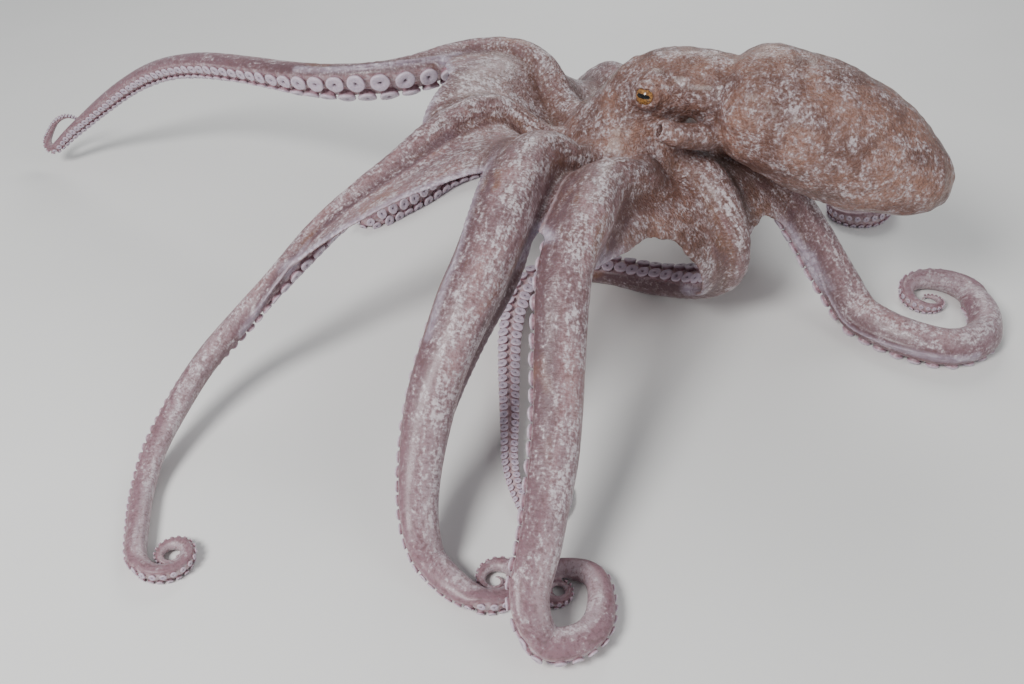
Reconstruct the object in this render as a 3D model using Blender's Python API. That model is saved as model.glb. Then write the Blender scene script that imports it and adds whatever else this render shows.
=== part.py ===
"""Giant Pacific octopus, life size, standing on its arms with the body raised.

The flesh is divided into the parts that a person would name: mantle, head, eyes,
siphon, the eight sectors of web, and the eight arms in four lengths each.
Metres, +Z up, origin on the floor under the middle of the animal's box.
The animal faces -X, turned a little towards +Y.
"""
import math

import bmesh
import bpy
import numpy as np
from mathutils import Vector
from mathutils.bvhtree import BVHTree

# ---------------------------------------------------------------- driving dimensions
GAP = 0.0003                      # clearance between parts that touch
CROWN = (0.238, 0.137)            # where the eight arms meet, seen from above
CROWN_RADIUS = 0.100              # centre of the mouth to the root of an arm
BACK_ANGLE = math.radians(-22.5)  # heading from the mouth towards the mantle's end
EYE_RADIUS = 0.0165
EYE_PLACE = (0.029, 0.0565, 0.321)     # back, sideways, up
BROW_RADIUS = 0.030
BROW_PLACE = (0.034, 0.039, 0.317)
WEB_THICKNESS = 0.004
WEB_CLEAR = 0.0018                # between a web and the arms that it joins
WEB_SEAM = 0.40                   # share of an arm's width from its middle to a web's seam
SINK = 0.09                       # share of an arm's width pressed flat where it rests
RING_STEP = 0.045                 # distance between rings on a straight arm
RING_TURN = math.radians(37)      # most that an arm turns between two rings
LENGTHS = (0.0, 0.22, 0.47, 0.74, 1.0)  # where an arm is divided, as shares of it

# Head and mantle: rings as (back, up, half width, half height, lean of the ring's axis).
HEAD_RINGS = (
    (0.000, 0.176, 0.022, 0.022, 0),
    (0.000, 0.181, 0.068, 0.068, 0),
    (0.000, 0.202, 0.0985, 0.0985, 0),
    (0.000, 0.232, 0.0985, 0.0985, 0),
    (0.002, 0.254, 0.086, 0.086, 4),
    (0.008, 0.275, 0.070, 0.066, 10),
    (0.019, 0.296, 0.060, 0.056, 22),
    (0.036, 0.312, 0.055, 0.049, 42),
    (0.060, 0.321, 0.053, 0.043, 64),
    (0.090, 0.321, 0.054, 0.042, 84),
    (0.120, 0.315, 0.058, 0.044, 97),
)
MANTLE_RINGS = (
    (0.1204, 0.314, 0.066, 0.052, 97),
    (0.134, 0.313, 0.078, 0.063, 98),
    (0.170, 0.307, 0.089, 0.073, 102),
    (0.220, 0.295, 0.094, 0.078, 106),
    (0.270, 0.279, 0.091, 0.076, 109),
    (0.320, 0.261, 0.079, 0.066, 112),
    (0.361, 0.244, 0.058, 0.049, 115),
    (0.389, 0.232, 0.033, 0.028, 117),
    (0.400, 0.227, 0.011, 0.010, 118),
)
SIPHON_PATH = ((0.112, -0.058, 0.286), (0.086, -0.082, 0.288), (0.056, -0.104, 0.300))
SIPHON_RADII = (0.019, 0.016, 0.011)

# An arm's section on the way round, as shares of its width: (sideways, towards suckers).
# The two ridges beside the groove at (0, 0.34) are the two rows of suckers.
HALF_SECTION = ((0.37, -0.31), (0.48, 0.10), (0.23, 0.45))
ABORAL, GROOVE = (0.0, -0.46), (0.0, 0.34)

DOWN = (0, 0, -1)
# Each arm: the side, width at the root, share of it lost by the end, how late it is lost (1 evenly,
# under 1 near the root), bluntness of the tip, then its route as (x, y, z, way the suckers face),
# then the coil at its end as (way it turns, first radius, last radius, turns), +1 turning left.
# z of 0 means resting.
ARMS = {
    "arm_r1": (135, 0.062, 0.65, 1.0, 9.0, (
        (0.115, 0.285, 0.262, (0, -0.3, -1)), (0.013, 0.317, 0.270, (0, -0.7, -1)),
        (-0.063, 0.289, 0.262, (0, -1, -0.7)), (-0.149, 0.283, 0.252, (0, -1, -0.5)),
        (-0.308, 0.352, 0.234, (0, -1, -0.6)), (-0.467, 0.439, 0.206, (0.2, -1, -0.6)),
        (-0.557, 0.477, 0.162, (0.4, -1, -0.8)), (-0.615, 0.489, 0.122, (0.5, -0.9, -0.8)),
        (-0.675, 0.499, 0.076, (0.5, -0.9, -0.6)), (-0.712, 0.491, 0.046, (0.3, -0.8, -0.7)),
        (-0.730, 0.487, 0.034, (-0.2, -0.6, -0.8)), (-0.740, 0.499, 0.041, (-1, -0.4, -0.2)),
        (-0.735, 0.511, 0.057, (-0.9, -0.3, 0.4)), (-0.721, 0.518, 0.074, (-0.7, -0.3, 0.7)),
        (-0.706, 0.523, 0.080, (0, -0.3, 1)), (-0.694, 0.529, 0.073, (0.7, -0.3, 0.7)),
        (-0.686, 0.534, 0.060, (0.9, -0.3, 0.3)),
    ), None),
    "arm_l1": (180, 0.058, 0.65, 0.5, 14.0, (
        (0.057, 0.150, 0.262, (0, 0.2, -1)), (-0.005, 0.115, 0.266, (0.1, 0.6, -0.8)),
        (-0.066, 0.053, 0.241, (0.6, 0.4, -0.8)), (-0.150, -0.013, 0.195, (0.8, 0, -0.55)),
        (-0.231, -0.080, 0.131, (0.8, 0, -0.55)), (-0.293, -0.139, 0.083, (-0.1, 0.7, -0.7)),
        (-0.335, -0.223, 0.038, (-0.9, 0.4, -0.5)), (-0.346, -0.278, 0.018, (-1, 0.1, -0.5)),
        (-0.344, -0.323, 0.0, (-1, -0.1, -0.6)), (-0.335, -0.369, 0.0, (-1, -0.2, -0.8)),
        (-0.324, -0.405, 0.0, (-1, -0.4, -0.9)),
    ), (1, 0.032, 0.006, 1.65)),
    "arm_l2": (225, 0.078, 0.40, 2.0, 3.0, (
        (0.114, 0.026, 0.258, (-0.2, 0.3, -1)), (0.075, -0.068, 0.262, (-0.4, 0.4, -0.9)),
        (0.046, -0.161, 0.234, (-0.6, 0.5, -0.7)), (0.012, -0.228, 0.183, (-0.7, 0.5, -0.6)),
        (-0.016, -0.293, 0.120, (-0.8, 0.4, -0.5)), (-0.027, -0.358, 0.063, (-0.9, 0.3, -0.4)),
        (-0.023, -0.396, 0.037, (-1, 0, -0.5)), (-0.004, -0.425, 0.0, (-0.8, -0.6, -0.8)),
        (0.031, -0.455, 0.0, (-0.4, -0.9, -1)),
    ), (1, 0.035, 0.006, 1.70)),
    "arm_l3": (270, 0.074, 0.30, 1.0, 3.0, (
        (0.195, -0.021, 0.250, (-0.3, 0.3, -1)), (0.163, -0.096, 0.253, (-0.5, 0.4, -0.8)),
        (0.136, -0.172, 0.235, (-0.7, 0.4, -0.6)), (0.124, -0.253, 0.178, (-0.8, 0.4, -0.5)),
        (0.118, -0.345, 0.117, (-0.8, 0.4, -0.5)), (0.109, -0.398, 0.088, (-0.8, 0.4, -0.5)),
        (0.096, -0.453, 0.066, (-0.9, 0.3, -0.4)), (0.088, -0.487, 0.047, (-1, 0, -0.5)),
        (0.096, -0.510, 0.026, (-0.8, -0.7, -0.7)), (0.119, -0.518, 0.0, (0, -1, -0.9)),
        (0.146, -0.506, 0.0, (0.7, -0.8, -1)), (0.163, -0.466, 0.0, (1, -0.2, -1)),
        (0.154, -0.424, 0.0, (0.9, 0.5, -1)), (0.128, -0.416, 0.0, (0, 1, -1)),
    ), (1, 0.026, 0.0055, 1.6)),
    "arm_l4": (315, 0.068, 0.80, 0.7, 9.0, (
        (0.348, 0.012, 0.175, (-0.3, 0.3, -0.7)), (0.355, 0.027, 0.080, (-0.9, 0.5, 0.1)),
        (0.293, 0.087, 0.030, (-0.2, 0.2, 1)), (0.198, 0.137, 0.0, (0, 0, 1)),
        (0.113, 0.117, 0.0, (0, 0, 1)), (0.076, 0.027, 0.0, (0, 0, 1)),
        (0.069, -0.113, 0.0, (0, 0, 1)), (0.070, -0.223, 0.0, (0, 0, 1)),
        (0.080, -0.308, 0.0, (-0.3, 0, 1)), (0.107, -0.353, 0.0, (0, -0.4, 1)),
        (0.134, -0.325, 0.0, (0.4, 0, 1)), (0.137, -0.283, 0.0, (0.4, 0, 1)),
    ), None),
    "arm_r4": (0, 0.070, 0.35, 1.0, 4.0, (
        (0.408, 0.125, 0.195, (-0.2, 0, -1)), (0.471, 0.095, 0.125, (-0.6, 0, -0.7)),
        (0.531, 0.042, 0.050, (-0.4, 0.3, -1)), (0.588, -0.023, 0.0, DOWN),
        (0.653, -0.053, 0.0, DOWN), (0.715, -0.018, 0.0, DOWN), (0.731, 0.057, 0.0, DOWN),
    ), (1, 0.060, 0.008, 1.5)),
    "arm_r3": (45, 0.070, 0.35, 1.0, 4.0, (
        (0.355, 0.262, 0.218, (0, -0.1, -1)), (0.405, 0.342, 0.150, (-0.3, -0.6, -1)),
        (0.455, 0.415, 0.060, (-0.2, -0.6, -1)), (0.523, 0.462, 0.0, DOWN),
        (0.603, 0.467, 0.0, DOWN), (0.668, 0.422, 0.0, DOWN), (0.683, 0.347, 0.0, DOWN),
    ), (-1, 0.060, 0.008, 1.4)),
    "arm_r2": (90, 0.066, 0.45, 1.5, 9.0, (
        (0.228, 0.347, 0.218, (0, -0.2, -1)), (0.183, 0.442, 0.145, (0, -0.5, -1)),
        (0.108, 0.489, 0.055, (0, -0.5, -1)), (0.023, 0.470, 0.0, (0.3, -0.8, -0.5)),
        (-0.042, 0.421, 0.0, (0.5, -1, -0.2)), (-0.079, 0.369, 0.0, (0.6, -1, 0)),
        (-0.117, 0.322, 0.0, (0.5, -1, 0)), (-0.150, 0.290, 0.0, (0.5, -1, 0)),
    ), (-1, 0.016, 0.006, 0.8)),
}
ROOT_HEIGHT = 0.218

# Web between neighbouring arms: how far it reaches along the first and the second, and
# its margin's place on the way across, as shares of those reaches at even steps.
ARCH = (1.0, 0.58, 0.47, 0.58, 1.0)
WEBS = {
    "web_r1_l1": ("arm_r1", "arm_l1", 0.30, 0.26, (0.88, 0.83, 0.70, 0.74, 0.80)),
    "web_l1_l2": ("arm_l1", "arm_l2", 0.50, 0.20, (0.93, 0.88, 0.88, 0.88, 0.80)),
    "web_l2_l3": ("arm_l2", "arm_l3", 0.45, 0.25, (0.63, 0.57, 0.59, 0.80, 0.96)),
    "web_l3_l4": ("arm_l3", "arm_l4", 0.25, 0.24, ARCH),
    "web_l4_r4": ("arm_l4", "arm_r4", 0.22, 0.28, ARCH),
    "web_r4_r3": ("arm_r4", "arm_r3", 0.33, 0.33, ARCH),
    "web_r3_r2": ("arm_r3", "arm_r2", 0.27, 0.27, ARCH),
    "web_r2_r1": ("arm_r2", "arm_r1", 0.33, 0.20, ARCH),
}
WEB_ROWS, WEB_COLUMNS = 10, 6
WEB_START = 0.012                 # where a web begins, along its arms

SKIN_PINK = (0.48, 0.33, 0.34, 1.0)
SKIN_BROWN = (0.27, 0.16, 0.12, 1.0)
WEB_LILAC = (0.42, 0.34, 0.42, 1.0)
EYE_GOLD = (0.30, 0.22, 0.10, 1.0)


# ---------------------------------------------------------------- small helpers
def unit(v):
    return v / np.linalg.norm(v, axis=-1, keepdims=True)


def material(name, colour, roughness):
    made = bpy.data.materials.new(name)
    made.use_nodes = True
    shader = made.node_tree.nodes["Principled BSDF"]
    shader.inputs["Base Color"].default_value = colour
    shader.inputs["Roughness"].default_value = roughness
    shader.inputs["Metallic"].default_value = 0.0
    return made


def collection(name):
    made = bpy.data.collections.new(name)
    bpy.context.scene.collection.children.link(made)
    return made


def from_bmesh(bm, name, home):
    mesh = bpy.data.meshes.new(name)
    bm.to_mesh(mesh)
    bm.free()
    made = bpy.data.objects.new(name, mesh)
    home.objects.link(made)
    return made


def loft(rings, name, home):
    """A closed body through rings of equal numbers of points, ended by flat caps."""
    bm = bmesh.new()
    loops = [[bm.verts.new(point) for point in ring] for ring in rings]
    count = len(loops[0])
    for near, far in zip(loops, loops[1:]):
        for k in range(count):
            bm.faces.new((near[k], near[(k + 1) % count], far[(k + 1) % count], far[k]))
    bm.faces.new(list(reversed(loops[0])))
    bm.faces.new(loops[-1])
    if bm.calc_volume(signed=True) < 0:
        bmesh.ops.reverse_faces(bm, faces=bm.faces)
    return from_bmesh(bm, name, home)


def finish(made, skin):
    made.data.materials.clear()
    made.data.materials.append(skin)
    made.data.shade_smooth()
    made.data.set_sharp_from_angle(angle=math.radians(50))


def hide_cutter(cutter):
    cutter.hide_render = True
    cutter.display_type = "WIRE"


def cut(made, cutter):
    modifier = made.modifiers.new("clear_of_" + cutter.name, "BOOLEAN")
    modifier.operation = "DIFFERENCE"
    modifier.solver = "EXACT"
    modifier.object = cutter


def settle_modifiers(made):
    """Applies the cuts and keeps the largest body that they leave."""
    evaluated = made.evaluated_get(bpy.context.evaluated_depsgraph_get())
    mesh = bpy.data.meshes.new_from_object(evaluated)
    made.modifiers.clear()
    made.data = mesh
    bm = bmesh.new()
    bm.from_mesh(mesh)
    bmesh.ops.remove_doubles(bm, verts=bm.verts, dist=1e-5)
    bmesh.ops.dissolve_degenerate(bm, edges=bm.edges, dist=1e-5)
    unseen = set(bm.verts)
    bodies = []
    while unseen:
        queue = [unseen.pop()]
        body = []
        while queue:
            vert = queue.pop()
            body.append(vert)
            for edge in vert.link_edges:
                other = edge.other_vert(vert)
                if other in unseen:
                    unseen.remove(other)
                    queue.append(other)
        bodies.append(body)
    bodies.sort(key=len)
    for body in bodies[:-1]:
        bmesh.ops.delete(bm, geom=body, context="VERTS")
    bm.to_mesh(mesh)
    bm.free()


# ---------------------------------------------------------------- routes of the arms
def natural_spline(stations, step):
    """A smooth curve through the stations' columns, by distance along the first three."""
    values = np.array(stations, float)
    chord = np.linalg.norm(np.diff(values[:, :3], axis=0), axis=1)
    knots = np.concatenate([[0.0], np.cumsum(chord)])
    n = len(knots)
    system = np.eye(n)
    right = np.zeros((n, values.shape[1]))
    for i in range(1, n - 1):
        system[i, i - 1] = chord[i - 1]
        system[i, i] = 2 * (chord[i - 1] + chord[i])
        system[i, i + 1] = chord[i]
        slope = np.diff(values[i - 1:i + 2], axis=0) / chord[i - 1:i + 1, None]
        right[i] = 6 * (slope[1] - slope[0])
    bend = np.linalg.solve(system, right)
    at = np.linspace(0, knots[-1], int(knots[-1] / step) + 1)
    i = np.clip(np.searchsorted(knots, at, side="right") - 1, 0, n - 2)
    h = chord[i, None]
    a = (knots[i + 1] - at)[:, None]
    b = (at - knots[i])[:, None]
    return (
        (bend[i] * a**3 + bend[i + 1] * b**3) / (6 * h)
        + (values[i] / h - bend[i] * h / 6) * a
        + (values[i + 1] / h - bend[i + 1] * h / 6) * b
    )


def coil_stations(last, heading, turn, first_radius, last_radius, turns):
    """Points of a flat coil that tightens, suckers on its outer side."""
    stations = []
    x, y, z = last
    step = math.radians(20)
    for k in range(int(turns * 18)):
        share = k / (turns * 18)
        radius = first_radius * (last_radius / first_radius) ** share
        heading += turn * step
        x += radius * step * math.cos(heading - turn * step / 2)
        y += radius * step * math.sin(heading - turn * step / 2)
        outward = heading - turn * math.pi / 2
        stations.append((x, y, z, math.cos(outward), math.sin(outward), -0.25))
    return stations


def section_points(width):
    """The section's outline, sideways and towards the suckers, in metres."""
    right = [ABORAL, *HALF_SECTION, GROOVE]
    left = [(-a, b) for a, b in reversed(HALF_SECTION)]
    outline = np.array(right + left)
    return outline * width


def arm_route(name):
    """Places, frames and widths at short steps along an arm."""
    azimuth, base, taper, early, blunt, route, coil = ARMS[name]
    way = math.radians(azimuth)
    root = [CROWN[0] + CROWN_RADIUS * math.cos(way), CROWN[1] + CROWN_RADIUS * math.sin(way)]
    lead = [c + 1.02 * (r - c) for c, r in zip(CROWN, root)]
    stations = [(*root, ROOT_HEIGHT, *DOWN), (*lead, ROOT_HEIGHT, *DOWN)]
    stations += [(x, y, z, *facing) for x, y, z, facing in route]
    if coil:
        (ax, ay), (bx, by) = route[-2][:2], route[-1][:2]
        heading = math.atan2(by - ay, bx - ax) + coil[0] * math.radians(8)
        stations += coil_stations(route[-1][:3], heading, *coil)
    samples = natural_spline(stations, 0.004)
    place = samples[:, :3]
    for _ in range(3):
        along = unit(np.gradient(place, axis=0))
        facing = samples[:, 3:] - (samples[:, 3:] * along).sum(1, keepdims=True) * along
        facing = unit(facing)
        side = np.cross(along, facing)
        run = np.concatenate([[0], np.cumsum(np.linalg.norm(np.diff(place, axis=0), axis=1))])
        share = run / run[-1]
        width = base * (1 - taper * share**early) * (1 - share**blunt) + 0.004
        outline = section_points(1.0)
        drop = -(outline[:, :1, None] * side.T[None, 2:3] + outline[:, 1:, None] * facing.T[None, 2:3])
        rest = drop.max(axis=0)[0] * width - SINK * width
        spare = samples[:, 2] - rest
        place = samples[:, :3].copy()
        place[:, 2] = rest + 0.5 * (spare + np.sqrt(spare**2 + 0.008**2))
        weight = np.hanning(9)[1:-1]
        padded = np.pad(place[:, 2], 3, mode="edge")
        place[:, 2] = np.convolve(padded, weight / weight.sum(), mode="valid")
    arm = {"place": place, "along": along, "facing": unit(facing), "side": side,
           "run": run, "width": width}
    bounds = [share * run[-1] for share in LENGTHS]
    arm["lengths"] = []
    for first, last in zip(bounds, bounds[1:]):
        start = first + (GAP / 2 if first else GAP)
        stop = last - (GAP / 2 if last < run[-1] else 0)
        runs = ring_runs(arm, start, stop)
        arm["lengths"].append([(at, ring_at(arm, at)) for at in runs])
    return arm


def at_run(arm, key, run):
    return np.array([np.interp(run, arm["run"], arm[key][:, k]) for k in range(3)])


def ring_at(arm, run):
    """The ring of points round an arm at a distance along it, pressed flat on the floor."""
    facing, side = unit(at_run(arm, "facing", run)), unit(at_run(arm, "side", run))
    outline = section_points(np.interp(run, arm["run"], arm["width"]))
    points = at_run(arm, "place", run) + outline[:, :1] * side + outline[:, 1:] * facing
    points[:, 2] = np.maximum(points[:, 2], 0.0)
    return points


def ring_runs(arm, start, stop):
    """Distances for rings between start and stop, closer where the arm bends or thins."""
    inside = (arm["run"] >= start) & (arm["run"] <= stop)
    along = arm["along"][inside]
    run = arm["run"][inside]
    turned = np.arccos(np.clip((along[1:] * along[:-1]).sum(1), -1, 1))
    need = np.concatenate([[0], np.cumsum(turned / RING_TURN + np.diff(run) / RING_STEP)])
    count = max(3, int(round(need[-1])) + 1)
    runs = np.interp(np.linspace(0, need[-1], count), need, run)
    runs[0], runs[-1] = start, stop
    kept = [start]
    for at in runs[1:]:
        while len(kept) > 1 and at == stop and crosses(arm, kept[-1], at):
            kept.pop()
        if at == stop or not crosses(arm, kept[-1], at):
            kept.append(at)
    return kept


def crosses(arm, near, far):
    """Whether two rings of an arm meet on the inside of a bend."""
    ahead = unit(at_run(arm, "along", near) + at_run(arm, "along", far))
    return ((ring_at(arm, far) - ring_at(arm, near)) @ ahead).min() < 0.001


# ---------------------------------------------------------------- the parts
def make_arm(name, arm, home, skin):
    for number, rings in enumerate(arm["lengths"], 1):
        made = loft([ring for _, ring in rings], f"{name}_{number}", home)
        finish(made, skin)


def web_edge(arm, run, sign):
    """Where a web leaves an arm's left or right edge, and the way that it leaves."""
    side = sign * unit(at_run(arm, "side", run))
    return at_run(arm, "place", run) + WEB_SEAM * np.interp(run, arm["run"], arm["width"]) * side, side


def web_line(first, second, share):
    """The curve of a web from an arm's edge to the next arm's edge, at a share across."""
    (start, leave), (end, arrive) = first, second
    across = end - start
    span = np.linalg.norm(across)
    leave = start + span / 3 * unit(leave + across / span)
    arrive = end + span / 3 * unit(arrive - across / span)
    rest = 1 - share
    return rest**3 * start + 3 * rest**2 * share * leave + 3 * rest * share**2 * arrive + share**3 * end


def clear_of(tree, point, distance):
    """Whether a point is outside the solids in the tree by more than a distance."""
    near, normal, _, away = tree.find_nearest(point)
    return away > distance and (Vector(point) - near).dot(normal) > 0


def web_surface(name, arms, tree):
    """A grid of points over a web's middle surface, kept clear of the arms."""
    first, second, reach_a, reach_b, profile = WEBS[name]
    shares = np.linspace(0, 1, 161)
    margin = np.interp(shares, np.linspace(0, 1, len(profile)), profile)
    rows = []
    for down in np.linspace(0, 1, WEB_ROWS):
        line = []
        for share, reach in zip(shares, margin * down):
            near = web_edge(arms[first], WEB_START + (reach_a - WEB_START) * reach, 1)
            far = web_edge(arms[second], WEB_START + (reach_b - WEB_START) * reach, -1)
            line.append(web_line(near, far, share))
        free = [clear_of(tree, point, WEB_THICKNESS / 2 + WEB_CLEAR) for point in line]
        middle = len(free) // 2
        start = max([k for k in range(middle) if not free[k]], default=-1) + 1
        stop = min([k for k in range(middle, len(free)) if not free[k]], default=len(free)) - 1
        if stop - start < 8:
            if rows:
                break
            continue
        at = np.linspace(start, stop, WEB_COLUMNS)
        line = np.array(line)
        rows.append([[np.interp(k, range(len(line)), line[:, j]) for j in range(3)] for k in at])
    return np.array(rows)


def make_web(name, arms, tree, home, skin):
    middle = web_surface(name, arms, tree)
    down = np.gradient(middle, axis=0)
    normal = unit(np.cross(np.gradient(middle, axis=1), down)) * WEB_THICKNESS / 2
    bm = bmesh.new()
    upper, lower = (
        [[bm.verts.new(point) for point in line] for line in surface]
        for surface in (middle + normal, middle - normal)
    )
    last = len(upper) - 1
    for k in range(last):
        for j in range(WEB_COLUMNS - 1):
            bm.faces.new((upper[k][j], upper[k][j + 1], upper[k + 1][j + 1], upper[k + 1][j]))
            bm.faces.new((lower[k][j], lower[k + 1][j], lower[k + 1][j + 1], lower[k][j + 1]))
    rim = [(k, 0) for k in range(last)] + [(last, j) for j in range(WEB_COLUMNS)]
    rim += [(k, WEB_COLUMNS - 1) for k in range(last - 1, -1, -1)]
    rim += [(0, j) for j in range(WEB_COLUMNS - 2, 0, -1)]
    for (k, j), (m, n) in zip(rim, rim[1:] + rim[:1]):
        bm.faces.new((upper[k][j], upper[m][n], lower[m][n], lower[k][j]))
    bmesh.ops.recalc_face_normals(bm, faces=bm.faces)
    if bm.calc_volume(signed=True) < 0:
        bmesh.ops.reverse_faces(bm, faces=bm.faces)
    finish(from_bmesh(bm, name, home), skin)


def solids_tree(home):
    """A search tree over every solid made so far."""
    points, faces = [], []
    for made in home.objects:
        first = len(points)
        points += [vert.co for vert in made.data.vertices]
        faces += [[first + k for k in face.vertices] for face in made.data.polygons]
    return BVHTree.FromPolygons(points, faces)


def body_point(back, sideways, up):
    c, s = math.cos(BACK_ANGLE), math.sin(BACK_ANGLE)
    return Vector((CROWN[0] + back * c - sideways * s, CROWN[1] + back * s + sideways * c, up))


def body_ring(ring, sides, extra=0.0):
    back, up, half_width, half_height, lean = ring
    lean = math.radians(lean)
    points = []
    for k in range(sides):
        turn = 2 * math.pi * k / sides
        across = (half_width + extra) * math.sin(turn)
        over = (half_height + extra) * math.cos(turn)
        points.append(body_point(back - over * math.cos(lean), across, up + over * math.sin(lean)))
    return points


def make_ball(name, place, radius, segments, rings, home):
    bm = bmesh.new()
    bmesh.ops.create_uvsphere(bm, u_segments=segments, v_segments=rings, radius=radius)
    bmesh.ops.translate(bm, verts=bm.verts, vec=place)
    return from_bmesh(bm, name, home)


def siphon_rings(extra=0.0):
    places = [body_point(*p) for p in SIPHON_PATH]
    rings = []
    for k, (place, radius) in enumerate(zip(places, SIPHON_RADII)):
        ahead = places[min(k + 1, len(places) - 1)] - places[max(k - 1, 0)]
        turn = ahead.to_track_quat("Z", "Y")
        ring = []
        for j in range(10):
            angle = 2 * math.pi * j / 10
            spoke = Vector((math.cos(angle), math.sin(angle), 0)) * (radius + extra)
            ring.append(place + turn @ spoke)
        rings.append(ring)
    if extra:
        rings[0] = [p - (places[1] - places[0]).normalized() * extra for p in rings[0]]
        rings[-1] = [p + (places[-1] - places[-2]).normalized() * extra for p in rings[-1]]
    return rings


def make_body(home, cutters_home):
    """Mantle, head, eyes and siphon."""
    brown = material("flesh_brown", SKIN_BROWN, 0.55)
    gold = material("eye_gold", EYE_GOLD, 0.15)
    mantle = loft([body_ring(r, 16) for r in MANTLE_RINGS], "mantle", home)
    head = loft([body_ring(r, 16) for r in HEAD_RINGS], "head", home)
    siphon = loft(siphon_rings(), "siphon", home)
    siphon_cutter = loft(siphon_rings(GAP), "cut_siphon", cutters_home)
    hide_cutter(siphon_cutter)
    for side, sign in (("left", -1), ("right", 1)):
        back, sideways, up = BROW_PLACE
        brow = make_ball("brow_" + side, body_point(back, sign * sideways, up),
                         BROW_RADIUS, 10, 6, cutters_home)
        hide_cutter(brow)
        joined = head.modifiers.new("brow_" + side, "BOOLEAN")
        joined.operation = "UNION"
        joined.solver = "EXACT"
        joined.object = brow
        back, sideways, up = EYE_PLACE
        eye = make_ball("eye_" + side, body_point(back, sign * sideways, up),
                        EYE_RADIUS, 12, 8, home)
        finish(eye, gold)
        socket = make_ball("cut_eye_" + side, body_point(back, sign * sideways, up),
                           EYE_RADIUS + GAP, 12, 8, cutters_home)
        hide_cutter(socket)
        cut(head, socket)
    cut(head, siphon_cutter)
    cut(mantle, siphon_cutter)
    settle_modifiers(head)
    settle_modifiers(mantle)
    for made in (mantle, head, siphon):
        finish(made, brown)


def main():
    for old in list(bpy.data.objects):
        bpy.data.objects.remove(old)
    home = collection("octopus")
    cutters_home = collection("cutters")
    pink = material("flesh_pink", SKIN_PINK, 0.5)
    lilac = material("web_lilac", WEB_LILAC, 0.5)
    arms = {name: arm_route(name) for name in ARMS}
    make_body(home, cutters_home)
    for name, arm in arms.items():
        make_arm(name, arm, home, pink)
    tree = solids_tree(home)
    for name in WEBS:
        make_web(name, arms, tree, home, lilac)


main()
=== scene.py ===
"""Giant Pacific octopus, life size: skin, suckers, eyes, floor, light and camera.

Metres where nothing says mm, +Z up, origin on the floor under the middle of the animal.
"""
import functools
import math

import bmesh
import bpy
import numpy as np
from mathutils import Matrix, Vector
from mathutils.kdtree import KDTree


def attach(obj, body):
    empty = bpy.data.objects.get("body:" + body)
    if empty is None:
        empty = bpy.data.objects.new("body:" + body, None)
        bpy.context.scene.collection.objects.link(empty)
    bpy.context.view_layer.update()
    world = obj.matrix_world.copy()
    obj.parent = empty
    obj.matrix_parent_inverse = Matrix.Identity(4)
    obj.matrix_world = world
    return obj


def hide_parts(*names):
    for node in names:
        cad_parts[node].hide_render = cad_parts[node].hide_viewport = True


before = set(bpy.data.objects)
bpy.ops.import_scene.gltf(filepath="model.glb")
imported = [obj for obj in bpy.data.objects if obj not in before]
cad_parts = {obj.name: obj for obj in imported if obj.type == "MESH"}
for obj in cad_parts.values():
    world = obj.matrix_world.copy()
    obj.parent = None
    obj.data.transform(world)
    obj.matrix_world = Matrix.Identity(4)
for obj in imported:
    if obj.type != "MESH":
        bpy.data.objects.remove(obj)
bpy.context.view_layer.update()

bl_info = {
    "name": "Giant Pacific octopus",
    "version": (1, 0, 0),
    "blender": (4, 5, 0),
    "location": "3D View > Sidebar > Octopus",
    "description": "Builds the skin, suckers, eyes and stage of a life-size octopus",
    "category": "Object",
}

# -------- the animal's shape
CROWN = (0.238, 0.137)            # where the eight arms meet, seen from above
CROWN_RADIUS = 0.100
BACK_ANGLE = math.radians(-22.5)  # heading from the mouth towards the mantle's end
BACK_COS, BACK_SIN = math.cos(BACK_ANGLE), math.sin(BACK_ANGLE)
EYE_RADIUS = 0.0165
EYE_PLACE = (0.029, 0.0565, 0.321)
BROW_RADIUS = 0.030
BROW_PLACE = (0.034, 0.039, 0.317)
SINK = 0.09                       # share of an arm's width pressed flat where it rests
ROOT_HEIGHT = 0.218
LINE_STEP = 0.004                 # between samples along an arm

# Head and mantle: rings as (back, up, half width, half height in mm, lean of the ring's axis).
HEAD_RINGS = (
    (0, 181, 68, 68, 0), (0, 202, 98.5, 98.5, 0), (0, 232, 98.5, 98.5, 0),
    (2, 254, 86, 86, 4), (8, 275, 70, 66, 10), (19, 296, 60, 56, 22),
    (36, 312, 55, 49, 42), (60, 321, 53, 43, 64), (90, 321, 54, 42, 84),
    (150, 313, 56, 42, 98),
)
MANTLE_RINGS = (
    (118, 314, 62, 48, 97), (134, 313, 78, 63, 98), (170, 307, 89, 73, 102),
    (220, 295, 94, 78, 106), (270, 279, 91, 76, 109), (320, 261, 79, 66, 112),
    (361, 244, 58, 49, 115), (389, 232, 33, 28, 117), (400, 227, 11, 10, 118),
)
SIPHON_PATH = ((0.125, -0.050, 0.286), (0.086, -0.082, 0.288), (0.056, -0.104, 0.300))
SIPHON_RADII = (0.020, 0.0165, 0.0125)

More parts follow.
